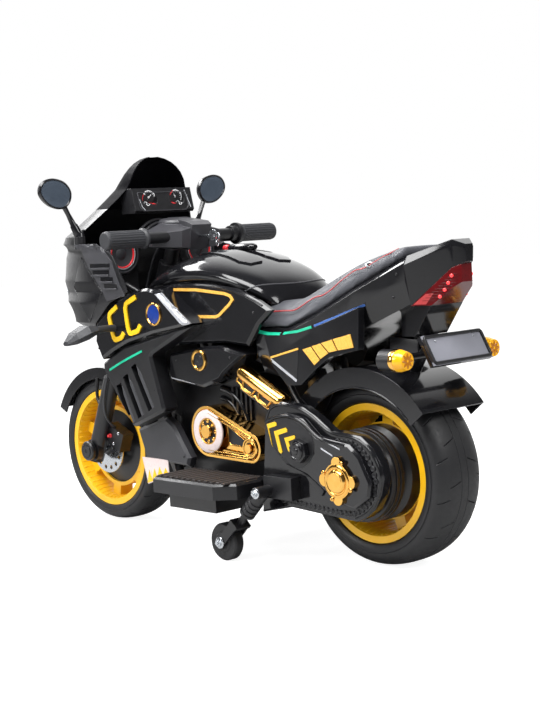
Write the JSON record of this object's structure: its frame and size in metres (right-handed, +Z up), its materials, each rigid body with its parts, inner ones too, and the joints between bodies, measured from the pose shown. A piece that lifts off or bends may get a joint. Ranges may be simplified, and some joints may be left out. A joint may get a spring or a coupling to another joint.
{
  "type": "children's electric motorbike",
  "caption": "Sport-style ride-on electric motorbike for a child, with a steered front wheel, twist grip, spoked rims and sprung side stabilisers.",
  "frame": {"origin": "on the ground under the middle of the bike's length and width", "axes": "+X forward, +Y to the rider's left, +Z up"},
  "size_m": [1.0985, 0.496, 0.7381],
  "materials": {
    "black_gloss": "gloss",
    "black_satin": "satin",
    "grey_satin": "satin",
    "yellow_plastic": "satin",
    "gold_plating": "polished",
    "tyre_plastic": "matte",
    "grip_rubber": "matte",
    "seat_leatherette": "satin",
    "steel": "brushed",
    "painted_steel": "satin",
    "mirror_film": "polished",
    "smoked_screen": "gloss",
    "red_lens": "gloss",
    "amber_lens": "gloss",
    "clear_lens": "gloss",
    "plate_grey": "satin"
  },
  "bodies": {
    "chassis": {"airbox_covers": "black_gloss", "battery": "grey_satin", "belt_covers": "gold_plating", "cockpit_panel": "black_satin", "dash_panel": "black_satin", "engine_block": "black_satin", "foot_boards": "black_satin", "frame": "painted_steel", "front_fairing": "black_gloss", "front_indicators": "black_gloss", "headlights": "clear_lens", "hub_caps": "gold_plating", "key_fob": "black_satin", "knee_panels": "black_gloss", "leg_panels": "grey_satin", "lower_fairings": "black_satin", "number_plate": "plate_grey", "rear_axle": "steel", "rear_fender": "black_gloss", "rear_gearbox": "black_satin", "rear_shocks": "gold_plating", "rear_signals": "black_satin", "seat_pad": "seat_leatherette", "side_fairing_left": "black_gloss", "side_fairing_right": "black_gloss", "signal_lenses": "amber_lens", "speakers": "black_satin", "stabiliser_mounts": "painted_steel", "swingarm_covers": "black_gloss", "tail_cowl": "black_gloss", "tail_light": "red_lens", "tank_cover": "black_gloss", "under_tray": "black_satin", "windscreen": "smoked_screen"},
    "steering": {"fork": "painted_steel", "handlebar": "painted_steel", "handlebar_cover": "grey_satin", "left_grip": "grip_rubber", "front_fender": "black_gloss", "front_axle": "steel", "brake_caliper": "black_satin", "brake_cable": "grip_rubber"},
    "front_wheel": {"front_tyre": "tyre_plastic", "front_rim": "yellow_plastic", "front_hub": "black_satin", "brake_disc": "steel"},
    "rear_wheel": {"rear_tyre": "tyre_plastic", "rear_rim": "yellow_plastic", "rear_hub": "black_satin"},
    "throttle": {"throttle_grip": "grip_rubber"},
    "lever": {"brake_lever": "painted_steel"},
    "key": {"ignition_key": "steel"},
    "left_mirror": {"mirror_left": "black_satin", "mirror_glass_left": "mirror_film"},
    "right_mirror": {"mirror_right": "black_satin", "mirror_glass_right": "mirror_film"},
    "left_strut": {"stabiliser_strut_left": "painted_steel"},
    "right_strut": {"stabiliser_strut_right": "painted_steel"},
    "left_caster": {"stabiliser_wheel_left": "tyre_plastic"},
    "right_caster": {"stabiliser_wheel_right": "tyre_plastic"}
  },
  "joints": [
    {"name": "steering_turn", "type": "hinge", "parent": "chassis", "child": "steering", "pos_m": [0.18166, 0, 0.59008], "axis": [-0.4067, 0, 0.9135], "range_deg": [-16, 16]},
    {"name": "front_wheel_spin", "type": "hinge", "parent": "steering", "child": "front_wheel", "pos_m": [0.3975, 0, 0.152], "axis": [0, 1, 0], "continuous": true},
    {"name": "rear_wheel_spin", "type": "hinge", "parent": "chassis", "child": "rear_wheel", "pos_m": [-0.3575, 0, 0.162], "axis": [0, 1, 0], "continuous": true},
    {"name": "throttle_twist", "type": "hinge", "parent": "steering", "child": "throttle", "pos_m": [0.13606, -0.165, 0.57908], "axis": [0, -1, 0], "range_deg": [0, 45], "stiffness_Nm_per_rad": 0.25, "springref_deg": -17.19},
    {"name": "brake_pull", "type": "hinge", "parent": "steering", "child": "lever", "pos_m": [0.17805, -0.104, 0.57708], "axis": [0, 0, -1], "range_deg": [0, 9], "stiffness_Nm_per_rad": 0.8, "springref_deg": -11.46},
    {"name": "key_turn", "type": "hinge", "parent": "steering", "child": "key", "pos_m": [0.09205, 0, 0.57808], "axis": [-1, 0, 0], "range_deg": [0, 60]},
    {"name": "left_mirror_fold", "type": "hinge", "parent": "chassis", "child": "left_mirror", "pos_m": [0.30125, 0.147, 0.593], "axis": [0, 0, 1], "range_deg": [-25, 25]},
    {"name": "right_mirror_fold", "type": "hinge", "parent": "chassis", "child": "right_mirror", "pos_m": [0.30125, -0.147, 0.593], "axis": [0, 0, -1], "range_deg": [-25, 25]},
    {"name": "left_strut_slide", "type": "slide", "parent": "chassis", "child": "left_strut", "axis": [-0.7177, 0, 0.6964], "range_m": [0, 0.012], "stiffness_N_per_m": 9000, "springref_m": -0.012},
    {"name": "left_caster_spin", "type": "hinge", "parent": "left_strut", "child": "left_caster", "pos_m": [-0.093, 0.154, 0.034], "axis": [0, 1, 0], "continuous": true},
    {"name": "right_strut_slide", "type": "slide", "parent": "chassis", "child": "right_strut", "axis": [-0.7177, 0, 0.6964], "range_m": [0, 0.012], "stiffness_N_per_m": 9000, "springref_m": -0.012},
    {"name": "right_caster_spin", "type": "hinge", "parent": "right_strut", "child": "right_caster", "pos_m": [-0.093, -0.154, 0.034], "axis": [0, 1, 0], "continuous": true}
  ]
}
